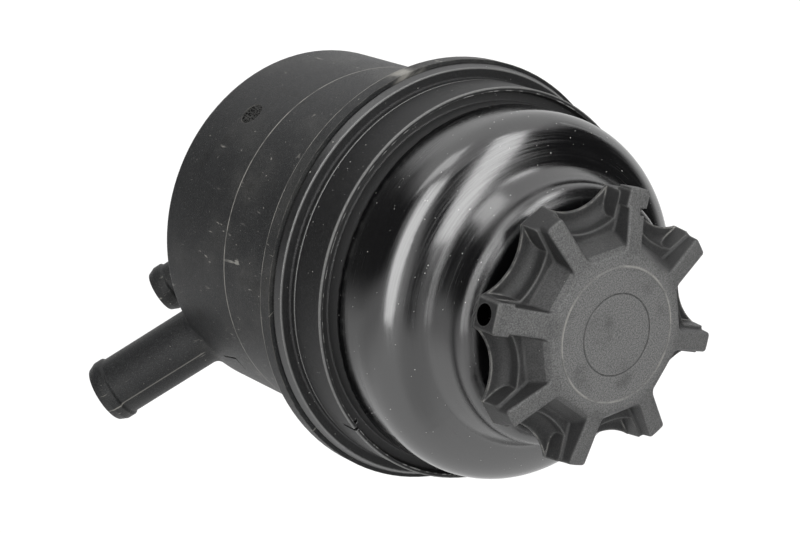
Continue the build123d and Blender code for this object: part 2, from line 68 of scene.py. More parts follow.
def weigh(tree, operation, *layers):
    # layers joined by one operation, each given as a socket and how much of it counts
    joined = None
    for layer, amount in layers:
        if amount != 1:
            layer = addNode(tree, "Math", (layer, amount), operation="MULTIPLY")
        joined = addNode(tree, "Math", (joined, layer), operation=operation) if joined else layer
    return joined


def lay(tree, colour, mask, amount, code):
    # another colour over the first one, as far as the mask and the amount let it
    cover = addNode(tree, "Math", (mask, amount), operation="MULTIPLY")
    return addNode(tree, "Mix", (cover, colour, hexColour(code)), data_type="RGBA")


def broken(tree, mask, texture, levels):
    # a mask that a texture breaks up, eased between two of the texture's levels
    share = addNode(tree, "MapRange", (texture, *levels), **eased)
    return addNode(tree, "Math", (mask, share), operation="MULTIPLY")


def band(tree, value, low, high, soft):
    # 1 between two limits, with soft edges
    rise = addNode(tree, "MapRange", (value, low - soft, low + soft), **eased)
    fall = addNode(tree, "MapRange", (value, high - soft, high + soft, 1, 0), **eased)
    return addNode(tree, "Math", (rise, fall), operation="MULTIPLY")


def flatLength(tree, across, up):
    # the length of a flat vector, from its two parts
    flat = addNode(tree, "CombineXYZ", (across, up))
    return addNode(tree, "VectorMath", (flat,), operation="LENGTH")


def aboutAxis(tree, coords):
    # a point's place and its distance from the reservoir's axis
    x, y, z = addNode(tree, "SeparateXYZ", (coords,)).node.outputs
    return x, y, z, flatLength(tree, x, y)


def ringLine(tree, z, radius, line):
    # 1 on a circle about the axis, given by its radius and height and by how far it reaches
    across = addNode(tree, "Math", (radius, line["ring"][0]), operation="SUBTRACT")
    up = addNode(tree, "Math", (z, line["ring"][1]), operation="SUBTRACT")
    width = line["width"]
    return addNode(tree, "MapRange", (flatLength(tree, across, up), width * lineCore, width, 1, 0), **eased)


def edgeMask(tree, rounded, lean):
    # 1 along edges, from how far the rounded normal leans from the true one
    true = addNode(tree, "NewGeometry").node.outputs["Normal"]
    along = addNode(tree, "VectorMath", (rounded, true), operation="DOT_PRODUCT")
    away = addNode(tree, "Math", (1, along), operation="SUBTRACT")
    return addNode(tree, "MapRange", (away, *lean), **eased)


def dustSpecks(tree, coords, sets):
    # pale specks: each set has a scale, the specks' size in a cell and the share of cells that hold one
    layers = []
    for scale, size, share in sets:
        near, tint = addNode(tree, "TexVoronoi", {"Vector": coords, "Scale": scale}).node.outputs[:2]
        spot = addNode(tree, "MapRange", (near, size * speckCore, size, 1, 0), **eased)
        chance = addNode(tree, "SeparateColor", (tint,))
        chosen = addNode(tree, "Math", (chance, share), operation="LESS_THAN")
        layers.append((addNode(tree, "Math", (spot, chosen), operation="MULTIPLY"), 1))
    return weigh(tree, "MAXIMUM", *layers)


def newMaterial(name):
    material = bpy.data.materials.new(name)
    material.use_nodes = True
    tree = material.node_tree
    tree.nodes.clear()
    shader = addNode(tree, "BsdfPrincipled").node
    addNode(tree, "OutputMaterial", {"Surface": shader.outputs["BSDF"]})
    return material, tree, shader, addNode(tree, "TexCoord").node.outputs["Object"]


def dress(node, material):
    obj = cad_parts[node]
    obj.data.materials.clear()
    obj.data.materials.append(material)


# camera, fitted to the photograph by the cap's rings and the flange
cameraSet = {
    "place": Vector((155.16, -333.39, 502.57)) * mm,
    "right": Vector((-0.63778, 0.52027, 0.56794)),
    "down": Vector((0.72779, 0.64843, 0.22329)),
    "ahead": Vector((-0.25210, 0.55575, -0.79220)),
    "lens": 105.67,
    "sensor": 36.0,
    "nearest": 0.01,
    "farthest": 100,
}


def makeCamera():
    data = bpy.data.cameras.new("photoCamera")
    data.lens = cameraSet["lens"]
    data.sensor_width = cameraSet["sensor"]
    data.clip_start = cameraSet["nearest"]
    data.clip_end = cameraSet["farthest"]
    camera = bpy.data.objects.new("photoCamera", data)
    turn = Matrix((cameraSet["right"], -cameraSet["down"], -cameraSet["ahead"])).transposed()
    camera.matrix_world = Matrix.Translation(cameraSet["place"]) @ turn.to_4x4()
    bpy.context.scene.collection.objects.link(camera)
    bpy.context.scene.camera = camera


# studio, in degrees about the photographer: azimuth from straight ahead to the right, elevation up
studioSet = {
    "boxDistance": 1.1,
    "boxAim": Vector((0, 0, 60)) * mm,
    "fill": 0.62,  # the tent's light on dull surfaces, which need no curtains
}
softBoxes = [
    {"name": "rightBox", "place": (135, 26), "wide": 19, "tall": 68, "lean": -16, "radiance": 3.6},
    {"name": "leftBox", "place": (-167, 8), "wide": 25, "tall": 72, "lean": -10, "radiance": 3.3},
    {"name": "topBox", "place": (-146, 62), "wide": 32, "tall": 20, "lean": 24, "radiance": 1.8},
    {"name": "backBox", "place": (6, 32), "wide": 84, "tall": 66, "lean": 0, "radiance": 0.9},
]
darkCurtains = [
    {"azimuth": (-146, -53), "elevation": (-2, 50), "soft": 10, "level": 0.08},
    {"azimuth": (-150, -50), "elevation": (-30, 56), "soft": 14, "level": 0.62},
    {"azimuth": (54, 121), "elevation": (-30, 48), "soft": 9, "level": 0.03},
    {"azimuth": (148, 167), "elevation": (-30, 40), "soft": 5, "level": 0.12},
    {"azimuth": (128, 176), "elevation": (-70, 75), "soft": 14, "level": 0.75},
]


def studioDirection(azimuth, elevation):
    turned = Matrix.Rotation(-radians(azimuth), 3, -cameraSet["down"]) @ cameraSet["ahead"]
    side = turned.cross(-cameraSet["down"]).normalized()
    return Matrix.Rotation(radians(elevation), 3, side) @ turned


def makeSoftBox(settings):
    way = studioDirection(*settings["place"])
    distance = studioSet["boxDistance"]
    data = bpy.data.lights.new(settings["name"], "AREA")
    data.shape = "RECTANGLE"
    data.size = 2 * distance * tan(radians(settings["wide"] / 2))
    data.size_y = 2 * distance * tan(radians(settings["tall"] / 2))
    data.energy = settings["radiance"] * data.size * data.size_y * pi
    lamp = bpy.data.objects.new(settings["name"], data)
    side = (-cameraSet["down"]).cross(way).normalized()
    turn = Matrix((side, way.cross(side), way)).transposed()
    turn = turn @ Matrix.Rotation(radians(settings["lean"]), 3, "Z")
    lamp.matrix_world = Matrix.Translation(studioSet["boxAim"] + way * distance) @ turn.to_4x4()
    lamp.visible_camera = False
    bpy.context.scene.collection.objects.link(lamp)


def curtainLevel(tree, direction):
    # the tent's brightness in a direction: white, and dark where a curtain hangs
    across, up, ahead = [
        addNode(tree, "VectorMath", (direction, axis), operation="DOT_PRODUCT")
        for axis in (cameraSet["right"], -cameraSet["down"], cameraSet["ahead"])]
    turned = addNode(tree, "Math", (across, ahead), operation="ARCTAN2")
    azimuth = addNode(tree, "Math", (turned,), operation="DEGREES")
    raised = addNode(tree, "Math", (up,), operation="ARCSINE")
    elevation = addNode(tree, "Math", (raised,), operation="DEGREES")
    level = 1.0
    for curtain in darkCurtains:
        beside = band(tree, azimuth, *curtain["azimuth"], curtain["soft"])
        above = band(tree, elevation, *curtain["elevation"], curtain["soft"])
        hidden = addNode(tree, "Math", (beside, above), operation="MULTIPLY")
        left = addNode(tree, "Math", (hidden, curtain["level"] - 1, 1), operation="MULTIPLY_ADD")
        level = addNode(tree, "Math", (level, left), operation="MULTIPLY")
    return level


def rayPaths(tree):
    # 1 for rays from the camera, and 1 for those that a surface mirrors or lets through
    paths = addNode(tree, "LightPath").node.outputs
    mirrored = addNode(
        tree, "Math", (paths["Is Glossy Ray"], paths["Is Transmission Ray"]), operation="MAXIMUM")
    return paths["Is Camera Ray"], mirrored


def makeWorld():
    world = bpy.data.worlds.new("studio")
    bpy.context.scene.world = world
    world.use_nodes = True
    tree = world.node_tree
    tree.nodes.clear()
    direct, mirrored = rayPaths(tree)
    tent = curtainLevel(tree, addNode(tree, "TexCoord").node.outputs["Generated"])
    level = addNode(tree, "Mix", (mirrored, studioSet["fill"], tent), data_type="FLOAT")
    level = addNode(tree, "Mix", (direct, level, 1.0), data_type="FLOAT")
    background = addNode(tree, "Background", {"Color": (1, 1, 1, 1), "Strength": level})
    addNode(tree, "OutputWorld", {"Surface": background})


# floor
floorSet = {
    "drop": 60 * mm,
    "size": 80.0,
    "colour": "#EBEBEB",
    "roughness": 0.95,
    "specular": 0.1,
    "fibres": {"Scale": 0.9 / mm, "Detail": 3},
    "fibreDepth": 0.2 * mm,
    "fibreStrength": 0.2,
    "glow": 1.12,
    "glowShare": 0.85,
}


def makeFloor():
    # white paper that keeps the shadow, and shows the tent to reflections
    s = floorSet
    sheet = bmesh.new()
    bmesh.ops.create_grid(sheet, x_segments=1, y_segments=1, size=s["size"] / 2)
    bmesh.ops.translate(sheet, verts=sheet.verts, vec=(0, 0, cadBox[0][2] - s["drop"]))
    mesh = bpy.data.meshes.new("floor")
    sheet.to_mesh(mesh)
    sheet.free()
    floor = bpy.data.objects.new("floor", mesh)
    bpy.context.scene.collection.objects.link(floor)

    material, tree, shader, coords = newMaterial("matWhitePaper")
    fibres = addNode(tree, "TexNoise", {"Vector": coords, **s["fibres"]})
    bump = addNode(tree, "Bump", {
        "Strength": s["fibreStrength"], "Distance": s["fibreDepth"], "Height": fibres})
    feed(tree, shader, {
        "Base Color": hexColour(s["colour"]), "Roughness": s["roughness"],
        "Specular IOR Level": s["specular"], "Normal": bump})
    direct, mirrored = rayPaths(tree)
    white = addNode(tree, "Emission", {"Color": (1, 1, 1, 1), "Strength": s["glow"]})
    seen = addNode(tree, "Math", (direct, s["glowShare"]), operation="MULTIPLY")
    paper = addNode(tree, "MixShader", (seen, shader.outputs["BSDF"], white))
    incoming = addNode(tree, "NewGeometry").node.outputs["Incoming"]
    away = addNode(tree, "VectorMath", (incoming, -1.0), operation="SCALE")
    tent = addNode(tree, "Emission", {"Color": (1, 1, 1, 1), "Strength": curtainLevel(tree, away)})
    surface = addNode(tree, "MixShader", (mirrored, paper, tent))
    feed(tree, tree.get_output_node("ALL"), {"Surface": surface})
    mesh.materials.append(material)


# lower housing
housingSet = {
    "colour": "#121213",
    "paleColour": "#252627",
    "fleckColour": "#6E6E6C",
    "stainColour": "#0B0B0B",
    "dustColour": "#8C8A84",
    "dotColour": "#3C3C3B",
    # near-black of the stippled patch, and painted shade in the cut strokes
    "darkAndShadeColour": "#020202",
    "roughLevels": (0.3, 0.7),  # of the grain
    "roughness": (0.42, 0.6),
    "specular": 0.32,
    "deepSpecular": 0.03,
    # the real grain and fibre ends are under 0.1 mm and drawn coarser, so that they show
    "grain": {"Scale": 3.0 / mm, "Detail": 3, "Roughness": 0.6},
    "grainLevels": (0.33, 0.67),
    "grainDepth": 0.09 * mm,
    "fleck": {"Scale": 4.2 / mm, "Detail": 2, "Roughness": 0.6},
    "fleckLevels": (0.58, 0.72),
    "fleckAmount": 0.4,
    "cloud": {"Scale": 0.045 / mm, "Detail": 4, "Roughness": 0.6},
    "stain": {"Scale": 0.095 / mm, "Detail": 5, "Roughness": 0.65},
    "stainLevels": (0.58, 0.68),
    "stainAmount": 0.6,
    "film": {"Scale": 0.7 / mm, "Detail": 5, "Roughness": 0.7},
    "filmLevels": (0.45, 0.75),
    "filmAmount": 0.16,
    "wobble": {"Scale": 0.26 / mm, "Detail": 3},
    # flash of the mould's parting: heights, half width, softness and how the wobble breaks it
    "lineHalf": 0.17 * mm,
    "partingZ": 12.5 * mm,
    "partingSoft": 0.08 * mm,
    "partingLevels": (0.3, 0.6, 0.35, 0.85),
    "flareZ": 41.7 * mm,
    "flareSoft": 0.1 * mm,
    "flareLevels": (0.35, 0.6, 0.3, 1.0),
    "seamFromX": 47.5 * mm,
    "seamSoft": 0.07 * mm,
    "seamAmount": 0.5,
    "lineHeight": 0.8,
    "edgeRadius": 0.35 * mm,
    "wearLean": (0.04, 0.25),
    "wearLevels": (0.4, 0.6, 0.1, 0.5),
    # two sets of fine scuffs, each turned its own way and stretched along one direction
    "scuffs": [
        {"turn": (0.5, 0.9, 0.3), "scale": Vector((0.07, 1.1, 0.17)) / mm, "levels": (0.66, 0.72)},
        {"turn": (1.1, 0.2, 1.3), "scale": Vector((0.08, 1.3, 0.2)) / mm, "levels": (0.68, 0.74)},
    ],
    "scuffGrain": {"Scale": 1, "Detail": 3, "Roughness": 0.55, "Distortion": 0.6},
    "scuffWhere": (0.46, 0.6),
    "scuffAmount": 0.7,
    "smear": Vector((-22.0, -48.0, 44.0)) * mm,
    "smearRadius": 7.0 * mm,
    "smearGrain": {"Scale": 0.4, "Detail": 4},
    "smearLevels": (0.4, 0.6),
    "smearAmount": 0.9,
    "specks": [(0.43 / mm, 0.09, 0.22), (0.8 / mm, 0.1, 0.18)],
    "speckAmount": 0.9,
    "patch": Vector((0.32, -46.3, -0.7)) * mm,
    "patchRadius": 3.2 * mm,
    "patchSoft": 0.25 * mm,
    "dotScale": 1.3 / mm,
    "dotLevels": (0.05, 0.2),
    "dotHeight": 2.0,
    # the two strokes that are cut above the outlet, their insides painted near-black as painted shade
    "markReach": (44.6 * mm, 46.22 * mm),
    "markSoftAcross": 0.02 * mm,
    "markZ": (-9 * mm, 5 * mm),
    "markSoftUp": 0.1 * mm,
    "markFromX": 40.0 * mm,
}


def glassFilledNylonMoulded():
    # dull near-black with a pale fibre fleck, cloudy film, oil stains, handling scuffs and pale parting
    # lines, and painted shade in the cut strokes
    s = housingSet
    material, tree, shader, coords = newMaterial("glassFilledNylonMoulded")
    x, y, z, radius = aboutAxis(tree, coords)
    grain = addNode(tree, "TexNoise", {"Vector": coords, **s["grain"]})
    cloud = addNode(tree, "TexNoise", {"Vector": coords, **s["cloud"]})
    wobble = addNode(tree, "TexNoise", {"Vector": coords, **s["wobble"]})

    pale = addNode(tree, "MapRange", (grain, *s["grainLevels"]), **eased)
    tones = hexColour(s["colour"]), hexColour(s["paleColour"])
    colour = addNode(tree, "Mix", (pale, *tones), data_type="RGBA")
    fleck = addNode(tree, "TexNoise", {"Vector": coords, **s["fleck"]})
    fleck = addNode(tree, "MapRange", (fleck, *s["fleckLevels"]), **eased)
    colour = lay(tree, colour, fleck, s["fleckAmount"], s["fleckColour"])
    stain = addNode(tree, "TexNoise", {"Vector": coords, **s["stain"]})
    stain = addNode(tree, "MapRange", (stain, *s["stainLevels"]), **eased)
    colour = lay(tree, colour, stain, s["stainAmount"], s["stainColour"])

    half = s["lineHalf"]
    parting = band(tree, z, s["partingZ"] - half, s["partingZ"] + half, s["partingSoft"])
    parting = broken(tree, parting, wobble, s["partingLevels"])
    flare = band(tree, z, s["flareZ"] - half, s["flareZ"] + half, s["flareSoft"])
    flare = broken(tree, flare, wobble, s["flareLevels"])
    seam = band(tree, y, -half, half, s["seamSoft"])
    seam = broken(tree, seam, x, (s["seamFromX"], s["seamFromX"] + mm))
    lines = weigh(tree, "MAXIMUM", (parting, 1), (flare, 1), (seam, s["seamAmount"]))
    rounded = addNode(tree, "Bevel", (s["edgeRadius"],), **sampled)
    worn = broken(tree, edgeMask(tree, rounded, s["wearLean"]), wobble, s["wearLevels"])
    colour = lay(tree, colour, weigh(tree, "MAXIMUM", (lines, 1), (worn, 1)), 1, s["dustColour"])

    ways = [addNode(tree, "Mapping", {"Vector": coords, "Rotation": scuff["turn"], "Scale": scuff["scale"]})
            for scuff in s["scuffs"]]
    scuffs = []
    for scuff, way in zip(s["scuffs"], ways):
        streaks = addNode(tree, "TexNoise", {"Vector": way, **s["scuffGrain"]})
        scuffs.append((addNode(tree, "MapRange", (streaks, *scuff["levels"]), **eased), 1))
    scuffs = broken(tree, weigh(tree, "MAXIMUM", *scuffs), cloud, s["scuffWhere"])
    film = addNode(tree, "TexNoise", {"Vector": coords, **s["film"]})
    film = broken(tree, film, cloud, s["filmLevels"])
    fromSmear = addNode(tree, "VectorMath", (coords, s["smear"]), operation="DISTANCE")
    smear = addNode(tree, "MapRange", (fromSmear, 0, s["smearRadius"], s["smearAmount"], 0), **eased)
    streaks = addNode(tree, "TexNoise", {"Vector": ways[0], **s["smearGrain"]})
    smear = broken(tree, smear, streaks, s["smearLevels"])
    dust = weigh(tree, "ADD", (scuffs, s["scuffAmount"]), (film, s["filmAmount"]))
    specks = dustSpecks(tree, coords, s["specks"])
    dust = weigh(tree, "MAXIMUM", (dust, 1), (smear, 1), (specks, s["speckAmount"]))
    colour = lay(tree, colour, dust, 1, s["dustColour"])

    fromPatch = addNode(tree, "VectorMath", (coords, s["patch"]), operation="DISTANCE")
    edge = s["patchRadius"] - s["patchSoft"]
    inPatch = addNode(tree, "MapRange", (fromPatch, edge, s["patchRadius"], 1, 0), **eased)
    cells = {"Vector": coords, "Scale": s["dotScale"]}
    stipple = addNode(tree, "TexVoronoi", cells, feature="DISTANCE_TO_EDGE")
    dots = addNode(tree, "MapRange", (stipple, *s["dotLevels"], 1, 0), **eased)
    dotted = addNode(
        tree, "Mix", (dots, hexColour(s["darkAndShadeColour"]), hexColour(s["dotColour"])), data_type="RGBA")
    colour = addNode(tree, "Mix", (inPatch, colour, dotted), data_type="RGBA")
    # painted shade: the insides of the cut strokes are painted near-black
    cutShade = band(tree, radius, *s["markReach"], s["markSoftAcross"])
    ahead = addNode(tree, "Math", (x, s["markFromX"]), operation="GREATER_THAN")
    cutShade = weigh(tree, "MULTIPLY", (cutShade, 1), (ahead, 1), (band(tree, z, *s["markZ"], s["markSoftUp"]), 1))
    colour = lay(tree, colour, cutShade, 1, s["darkAndShadeColour"])

    deep = weigh(tree, "MAXIMUM", (inPatch, 1), (cutShade, 1))
    specular = addNode(tree, "MapRange", (deep, 0, 1, s["specular"], s["deepSpecular"]), **eased)
    rough = addNode(tree, "MapRange", (grain, *s["roughLevels"], *s["roughness"]), **eased)
    dots = addNode(tree, "Math", (dots, inPatch), operation="MULTIPLY")
    height = weigh(tree, "ADD", (grain, 1), (lines, s["lineHeight"]), (dots, s["dotHeight"]))
    bump = addNode(tree, "Bump", {
        "Strength": 1.0, "Distance": s["grainDepth"], "Height": height, "Normal": rounded})
    feed(tree, shader, {
        "Base Color": colour, "Roughness": rough, "Specular IOR Level": specular, "Normal": bump})
    return material


# upper shell
shellSet = {
    "gloss": "#050506",
    "satin": "#09090A",
    "paleSatin": "#1B1B1C",
    "fleckColour": "#6A6A68",
    "grooveLightColour": "#4A4A4A",
    "highlightLineColour": "#9C9C9A",
    "dustColour": "#C4C4BF",
    "glossIor": 2.1,
    "glossSpecular": 0.5,
    "satinSpecular": (0.15, 0.38),  # on the collar, and on the flange's side
    "satinRoughness": (0.5, 0.26),
    "edgeSpecular": 0.6,
    "edgeRoughness": 0.14,
    "dustRoughness": 0.8,
    "domeRadius": 45.8 * mm,
    "domeSoft": 0.1 * mm,
    "satinTopZ": 63.0 * mm,
    "satinSoft": 0.6 * mm,
    "satinWander": 0.8 * mm,
    "flangeSideR": 51.5 * mm,
    "flangeSideSoft": 0.3 * mm,
    # the real grain and fibre ends are under 0.1 mm and drawn coarser, so that they show
    "grain": {"Scale": 3.0 / mm, "Detail": 3, "Roughness": 0.6},
    "grainLevels": (0.35, 0.65),
    "grainDepth": 0.05 * mm,
    "grainRoughness": 0.1,
    "fleck": {"Scale": 4.4 / mm, "Detail": 2, "Roughness": 0.6},
    "fleckLevels": (0.6, 0.72),
    "fleckAmount": 0.34,
    "patchy": {"Scale": 0.5 / mm, "Detail": 4},
    "haze": {"Scale": 0.06 / mm, "Detail": 4, "Roughness": 0.6},
    "hazeRoughness": (0.35, 0.75, 0.0, 0.07),
    # polishing rings, drawn coarser than the 0.05 mm of real ones
    "ringScale": 2.8 / mm,
    "ringBreaks": 2.2,
    "ringGrain": {"Scale": 1, "Detail": 5, "Roughness": 0.65},
    "ringRoughness": (0.35, 0.7, 0.1, 0.24),
    "ringHeight": 0.07,
    # the shoulder's corner looks rounder than other edges
    "shoulderZ": (80.0 * mm, 85.0 * mm),
    "edgeRadii": (0.42 * mm, 2.4 * mm),
    "edgeLean": (0.01, 0.08),
    # pale lines painted along the rounded edges of the collar and flange, as painted highlights
    "lipLine": {"ring": (48.1 * mm, 61.0 * mm), "width": 0.3 * mm},
    "lipLevels": (0.5, 0.6, 0.1, 0.9),
    "topLine": {"ring": (49.05 * mm, 60.8 * mm), "width": 0.5 * mm},
    "topAmount": 0.35,
    "footLine": {"ring": (49.1 * mm, 49.95 * mm), "width": 0.32 * mm},
    "footAmount": 0.5,
    "footHeight": 3.0,
    "flangeLine": {"ring": (51.7 * mm, 48.2 * mm), "width": 0.4 * mm},
    "flangeAmount": 0.3,
    # painted light: paler grey inside the collar's lip, over the groove and the dome's foot
    "grooveLightWidth": 0.3 * mm,
    "grooveLightAmount": 0.35,
    "specks": [(0.56 / mm, 0.085, 0.22), (0.9 / mm, 0.09, 0.16)],
    "speckAmount": 0.9,
}


def polishedAbsMoulded():
    # piano black dome with fine polishing rings and dust, grained satin on the collar, pale lines painted on
    # the moulded edges as painted highlights
    s = shellSet
    material, tree, shader, coords = newMaterial("polishedAbsMoulded")
    x, y, z, radius = aboutAxis(tree, coords)
    grain = addNode(tree, "TexNoise", {"Vector": coords, **s["grain"]})
    patchy = addNode(tree, "TexNoise", {"Vector": coords, **s["patchy"]})
    haze = addNode(tree, "TexNoise", {"Vector": coords, **s["haze"]})

    # satin outside the dome and below an uneven edge round the dome's foot
    wander = addNode(tree, "Math", (patchy, 0.5), operation="SUBTRACT")
    uneven = weigh(tree, "ADD", (z, 1), (wander, s["satinWander"]))
    low, high = s["satinTopZ"] - s["satinSoft"], s["satinTopZ"] + s["satinSoft"]
    foot = addNode(tree, "MapRange", (uneven, low, high, 1, 0), **eased)
    low, high = s["domeRadius"] - s["domeSoft"], s["domeRadius"] + s["domeSoft"]
    outside = addNode(tree, "MapRange", (radius, low, high), **eased)
    satin = weigh(tree, "MAXIMUM", (outside, 1), (foot, 1))

    angle = addNode(tree, "Math", (y, x), operation="ARCTAN2")
    ringVector = addNode(tree, "CombineXYZ", [
        addNode(tree, "Math", (part, scale), operation="MULTIPLY")
        for part, scale in ((angle, s["ringBreaks"]), (radius, s["ringScale"]), (z, s["ringScale"]))])
    rings = addNode(tree, "TexNoise", {"Vector": ringVector, **s["ringGrain"]})
    edgeRadius = addNode(tree, "MapRange", (z, *s["shoulderZ"], *s["edgeRadii"]), **eased)
    rounded = addNode(tree, "Bevel", (edgeRadius,), **sampled)
    edges = addNode(tree, "Math", (edgeMask(tree, rounded, s["edgeLean"]), satin), operation="MULTIPLY")
    footLine = ringLine(tree, z, radius, s["footLine"])
    shiny = weigh(tree, "MAXIMUM", (edges, 1), (footLine, 1))

    pale = addNode(tree, "MapRange", (grain, *s["grainLevels"]), **eased)
    colour = addNode(tree, "Mix", (pale, hexColour(s["satin"]), hexColour(s["paleSatin"])), data_type="RGBA")
    fleck = addNode(tree, "TexNoise", {"Vector": coords, **s["fleck"]})
    fleck = addNode(tree, "MapRange", (fleck, *s["fleckLevels"]), **eased)
    colour = lay(tree, colour, fleck, s["fleckAmount"], s["fleckColour"])
    # painted light: the satin inside the collar's lip is painted paler grey, against the groove's shade
    grooveLightEnd = s["lipLine"]["ring"][0]
    grooveLight = addNode(tree, "MapRange", (
        radius, grooveLightEnd - s["grooveLightWidth"], grooveLightEnd, s["grooveLightAmount"], 0), **eased)
    colour = lay(tree, colour, grooveLight, 1, s["grooveLightColour"])
    colour = addNode(tree, "Mix", (satin, hexColour(s["gloss"]), colour), data_type="RGBA")
    # painted highlights: pale lines along the rounded edges of the collar and flange
    topLine = ringLine(tree, z, radius, s["topLine"])
    flangeLine = ringLine(tree, z, radius, s["flangeLine"])
    lipLine = broken(tree, ringLine(tree, z, radius, s["lipLine"]), patchy, s["lipLevels"])
    lines = weigh(tree, "MAXIMUM", (topLine, s["topAmount"]), (footLine, s["footAmount"]),
                  (flangeLine, s["flangeAmount"]), (lipLine, 1))
    colour = lay(tree, colour, lines, 1, s["highlightLineColour"])
    dust = dustSpecks(tree, coords, s["specks"])
    colour = lay(tree, colour, dust, s["speckAmount"], s["dustColour"])

    ringRough = addNode(tree, "MapRange", (rings, *s["ringRoughness"]), **eased)
    hazeRough = addNode(tree, "MapRange", (haze, *s["hazeRoughness"]), **eased)
    polished = weigh(tree, "ADD", (ringRough, 1), (hazeRough, 1))
    sideFrom, sideTo = s["flangeSideR"], s["flangeSideR"] + s["flangeSideSoft"]
    dull = addNode(tree, "MapRange", (radius, sideFrom, sideTo, *s["satinRoughness"]), **eased)
    dull = weigh(tree, "ADD", (dull, 1), (grain, s["grainRoughness"]))
    dull = addNode(tree, "Mix", (shiny, dull, s["edgeRoughness"]), data_type="FLOAT")
    rough = addNode(tree, "Mix", (satin, polished, dull), data_type="FLOAT")
    rough = addNode(tree, "Mix", (dust, rough, s["dustRoughness"]), data_type="FLOAT")
    sheen = addNode(tree, "MapRange", (radius, sideFrom, sideTo, *s["satinSpecular"]), **eased)
    sheen = addNode(tree, "Mix", (shiny, sheen, s["edgeSpecular"]), data_type="FLOAT")
    specular = addNode(tree, "Mix", (satin, s["glossSpecular"], sheen), data_type="FLOAT")
    satinGrain = addNode(tree, "Math", (grain, satin), operation="MULTIPLY")
    height = weigh(tree, "ADD", (satinGrain, 1), (rings, s["ringHeight"]), (footLine, s["footHeight"]))
    bump = addNode(tree, "Bump", {
        "Strength": 1.0, "Distance": s["grainDepth"], "Height": height, "Normal": rounded})
    feed(tree, shader, {
        "Base Color": colour, "Roughness": rough, "IOR": s["glossIor"], "Specular IOR Level": specular,
        "Normal": bump})
    return material


# filler cap
capSet = {
    "colour": "#4A4A4A",
    "paleColour": "#767675",
    "edgeColour": "#B0AEA8",
    "rubColour": "#8B8B8A",
    # dark colour of the stains, and painted shade in the pockets, on side faces and round the hub
    "darkAndShadeColour": "#0E0E0F",
    "ventShadeColour": "#020202",
    "roughness": (0.4, 0.58),
    "specular": 0.45,
    # spark erosion leaves pits of about 0.1 mm, drawn coarser so that they show
    "grain": {"Scale": 3.0 / mm, "Detail": 3, "Roughness": 0.6},
    "grainLevels": (0.33, 0.67),
    "grainDepth": 0.09 * mm,
    "sand": {"Scale": 6.0 / mm, "Detail": 2},
    "sandLevels": (0.25, 0.75),
    "sandHeight": 0.6,
    "cloud": {"Scale": 0.11 / mm, "Detail": 4, "Roughness": 0.6},
    "cloudLevels": (0.5, 0.75, 0.0, 0.4),
    "sideShadeLevels": (0.2, 0.85, 0.82, 0.0),  # painted shade, by how far a face looks up
    "pocketShadeLevels": (103.5 * mm, 106.4 * mm, 0.72, 0.0),
    "rimShadeLevels": (16.0 * mm, 20.0 * mm, 0.0, 0.3),
    "edgeRadius": 0.9 * mm,
    "rubLean": (0.01, 0.2),
    "rubLevels": (0.35, 0.65, 0.35, 1.0),
    "rubAmount": 0.6,
    "faceRing": {"ring": (16.0 * mm, 110.0 * mm), "width": 0.36 * mm},
    "faceLevels": (0.4, 0.6, 0.12, 0.45),
    "innerRing": {"ring": (9.7 * mm, 110.0 * mm), "width": 0.26 * mm},
    "innerAmount": 0.7,
    # flash of the mould along the lip
    "lipLevels": (99.3 * mm, 99.6 * mm, 1.0, 0.12),
    "flashLean": (0.1, 0.35),
    "flash": {"Scale": 0.42 / mm, "Detail": 4},
    "flashLevels": (0.4, 0.56),
    "flashAmount": 0.8,
    "specks": [(0.62 / mm, 0.07, 0.2), (0.95 / mm, 0.06, 0.12)],
    "speckAmount": 0.6,
    # the vent's bore, along a lobe of the cap, painted near-black as painted shade
    "ventZ": 102.7 * mm,
    "ventRadius": 2.4 * mm,
    "ventEdge": (0.1 * mm, 0.25 * mm),
    "ventSide": Vector((0.8100, 0.5864, 0.0)),
    "ventAlong": Vector((0.5864, -0.8100, 0.0)),
    "ventReach": 15.0 * mm,
}


